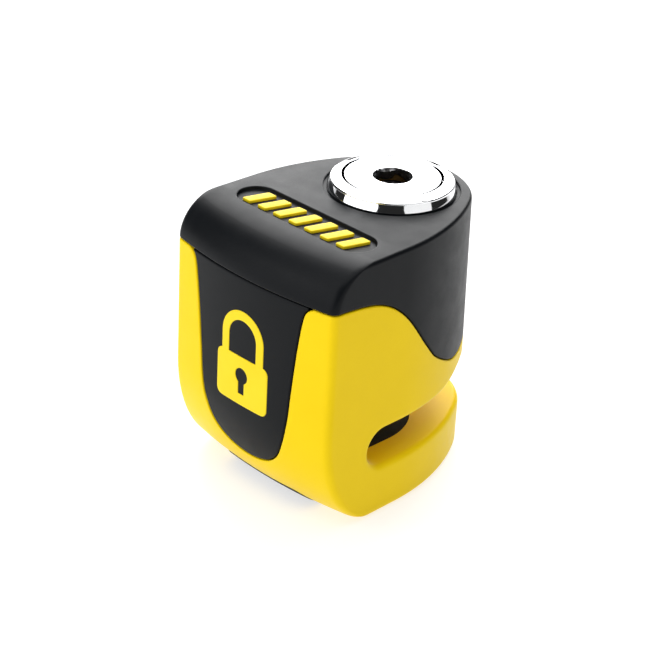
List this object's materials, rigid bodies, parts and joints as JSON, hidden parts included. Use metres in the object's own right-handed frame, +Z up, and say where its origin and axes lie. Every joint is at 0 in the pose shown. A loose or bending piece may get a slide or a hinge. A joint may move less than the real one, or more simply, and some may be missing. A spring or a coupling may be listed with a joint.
{
  "type": "disc brake lock",
  "caption": "Alarm disc brake lock: housing with a slot for a motorcycle brake disc, hood, front panel and a push-down key barrel that drives a locking pin across the slot.",
  "frame": {"origin": "middle of the underside, at the centre of the bounding box", "axes": "+Z up along the barrel, +Y towards the rounded back end where the slot opens, -Y the front face, +X to the right seen from the front"},
  "size_m": [0.046, 0.058, 0.062],
  "materials": {
    "yellow_paint": "smooth semi-gloss paint on a die-cast zinc housing",
    "black_plastic": "satin black with a fine moulded grain",
    "yellow_plastic": "smooth yellow moulding",
    "chrome": "bright mirror plating",
    "steel": "ground hardened steel",
    "dark_steel": "blackened steel",
    "brass": "stamped, lightly dulled brass",
    "seal_rubber": "matt black O-ring",
    "pad_rubber": "matt black with a fine texture",
    "cell_steel": "bright nickel-plated cell cans",
    "inner_plastic": "plain black moulding",
    "circuit_board": "green solder mask",
    "red_wire": "PVC insulation",
    "black_wire": "PVC insulation"
  },
  "bodies": {
    "housing": {"lock_body": "yellow_paint", "top_hood": "black_plastic", "badge_inlay": "yellow_plastic", "front_panel": "black_plastic", "front_sign": "yellow_plastic", "bezel_ring": "chrome", "barrel_seal": "seal_rubber", "pin_bushing": "brass", "return_spring": "steel", "stop_screw": "dark_steel", "slot_pad": "pad_rubber", "bottom_hatch": "black_plastic", "hatch_screw_1": "dark_steel", "hatch_screw_2": "dark_steel", "button_cell_1": "cell_steel", "button_cell_2": "cell_steel", "button_cell_3": "cell_steel", "button_cell_4": "cell_steel", "contact_positive": "brass", "contact_negative": "brass", "cell_link_top": "brass", "cell_link_1": "brass", "cell_link_2": "brass", "alarm_carrier": "inner_plastic", "circuit_board": "circuit_board", "siren": "inner_plastic", "alarm_chip": "inner_plastic", "shock_sensor": "steel", "reed_switch": "brass", "battery_wire_1": "red_wire", "battery_wire_2": "black_wire", "hood_screw_1": "dark_steel", "hood_screw_2": "dark_steel"},
    "barrel": {"lock_barrel": "chrome", "pin_carrier": "steel", "plug_washer": "steel", "roll_pin": "steel", "locking_pin": "steel", "arming_magnet": "steel"},
    "plug": {"key_plug": "dark_steel", "sidebar": "brass", "detainer_disc_1": "brass", "detainer_disc_2": "brass", "detainer_disc_3": "brass", "detainer_disc_4": "brass", "detainer_disc_5": "brass", "detainer_disc_6": "brass", "detainer_disc_7": "brass"},
    "latch": {"latch_bolt": "steel"}
  },
  "joints": [
    {"name": "barrel_travel", "type": "slide", "parent": "housing", "child": "barrel", "axis": [0, 0, 1], "range_m": [0, 0.0126], "deforming": ["return_spring"]},
    {"name": "plug_turn", "type": "hinge", "parent": "barrel", "child": "plug", "pos_m": [0, 0.0118, 0.05], "axis": [0, 0, -1], "range_deg": [0, 90]},
    {"name": "latch_slide", "type": "slide", "parent": "barrel", "child": "latch", "axis": [0, -1, 0], "range_m": [0, 0.0023]}
  ],
  "couplings": [
    {"joint": "latch_slide", "follows": "plug_turn", "m_per_rad": 0.0014642}
  ]
}
